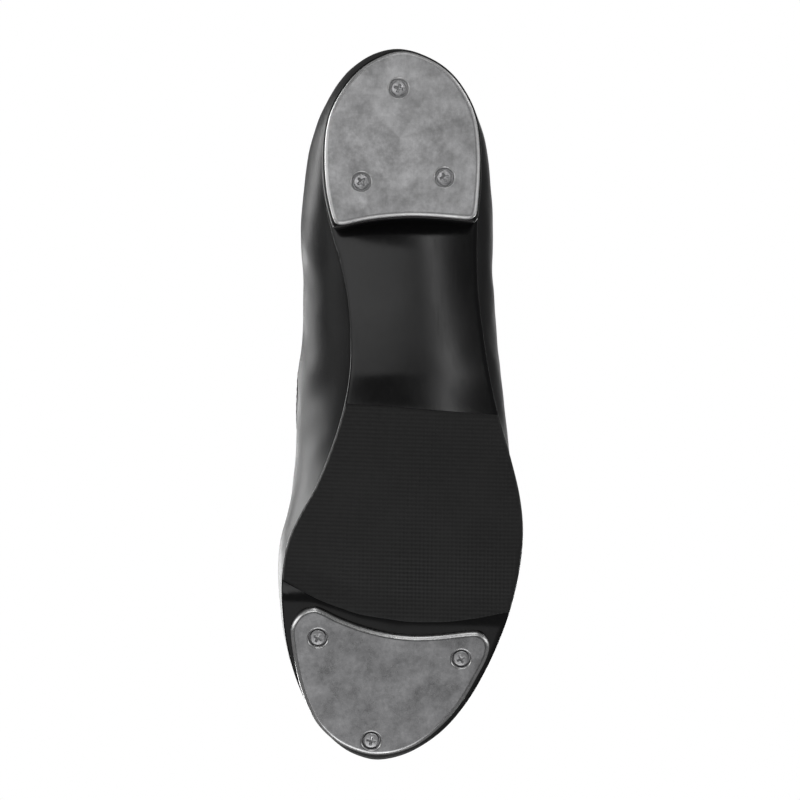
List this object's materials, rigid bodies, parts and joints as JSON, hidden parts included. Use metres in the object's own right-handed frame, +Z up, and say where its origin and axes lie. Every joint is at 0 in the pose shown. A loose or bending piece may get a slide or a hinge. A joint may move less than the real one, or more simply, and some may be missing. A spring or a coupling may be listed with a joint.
{
  "type": "tap shoe",
  "caption": "Right tap shoe: low heel, ribbon tie over an open throat, ribbed forefoot pad, and metal toe and heel taps held by countersunk cross-head screws.",
  "frame": {"origin": "middle of the heel tap's ground face", "axes": "+X towards the toe, +Y towards the wearer's left, which is the medial side of this right shoe, +Z up from the ground"},
  "size_m": [0.2445, 0.0823, 0.0977],
  "materials": {
    "synthetic_leather": "smooth satin coated synthetic leather with a very fine grain",
    "lining_cloth": "brushed knit lining",
    "binding_tape": "ribbed grosgrain binding tape, stitched down",
    "stiffener_board": "thermoplastic stiffener sheet",
    "insole_fibre": "cellulose fibreboard",
    "sock_cloth": "cloth-faced foam sock liner",
    "cork_filler": "ground cork filler",
    "shank_steel": "blued spring steel strip",
    "outsole_gloss": "edge and waist painted gloss black",
    "pad_rubber": "matte rubber with a fine cross-ribbed surface",
    "heel_lacquer": "moulded heel, satin black lacquer",
    "screw_steel": "plated steel",
    "tap_alloy": "cast aluminium, tumbled, with fine scuffs",
    "eyelet_nickel": "bright nickel plate",
    "grosgrain_ribbon": "matte black grosgrain ribbon",
    "aglet_plastic": "clear acetate film over the ribbon end, glossy"
  },
  "bodies": {
    "shoe": {"upper": "synthetic_leather", "lining": "lining_cloth", "topline_binding": "binding_tape", "heel_counter": "stiffener_board", "toe_puff": "stiffener_board", "insole_board": "insole_fibre", "sock_liner": "sock_cloth", "bottom_filler": "cork_filler", "shank": "shank_steel", "outsole": "outsole_gloss", "forefoot_pad": "pad_rubber", "heel_block": "heel_lacquer", "heel_screw": "screw_steel", "heel_nails": "screw_steel", "toe_tap_screws": "screw_steel", "heel_tap_screws": "screw_steel", "eyelet_lateral": "eyelet_nickel", "eyelet_medial": "eyelet_nickel", "tie_ribbon": "grosgrain_ribbon", "bow_knot": "grosgrain_ribbon"},
    "toe_tap": {"toe_tap": "tap_alloy"},
    "heel_tap": {"heel_tap": "tap_alloy"},
    "loop_lateral": {"bow_loop_lateral": "grosgrain_ribbon"},
    "loop_medial": {"bow_loop_medial": "grosgrain_ribbon"},
    "tail_lateral": {"ribbon_tail_lateral": "grosgrain_ribbon", "aglet_lateral": "aglet_plastic"},
    "tail_medial": {"ribbon_tail_medial": "grosgrain_ribbon", "aglet_medial": "aglet_plastic"}
  },
  "joints": [
    {"name": "toe_tap_float", "type": "slide", "parent": "shoe", "child": "toe_tap", "axis": [0.2607, 0, -0.9654], "range_m": [0, 0.00028]},
    {"name": "heel_tap_float", "type": "slide", "parent": "shoe", "child": "heel_tap", "axis": [0, 0, -1], "range_m": [0, 0.00028]},
    {"name": "loop_lateral_lift", "type": "hinge", "parent": "shoe", "child": "loop_lateral", "pos_m": [0.0641, -0.0042, 0.088], "axis": [-0.6112, 0.7915, 0], "range_deg": [0, 20]},
    {"name": "loop_medial_lift", "type": "hinge", "parent": "shoe", "child": "loop_medial", "pos_m": [0.0751, -0.0009, 0.0884], "axis": [0.8779, -0.4789, 0], "range_deg": [0, 20]},
    {"name": "tail_lateral_swing", "type": "hinge", "parent": "shoe", "child": "tail_lateral", "pos_m": [0.0751, -0.0037, 0.0871], "axis": [-0.8924, -0.4512, 0], "range_deg": [0, 30]},
    {"name": "tail_medial_swing", "type": "hinge", "parent": "shoe", "child": "tail_medial", "pos_m": [0.0641, -0.0015, 0.0853], "axis": [0.9968, 0.0797, 0], "range_deg": [0, 30]}
  ]
}
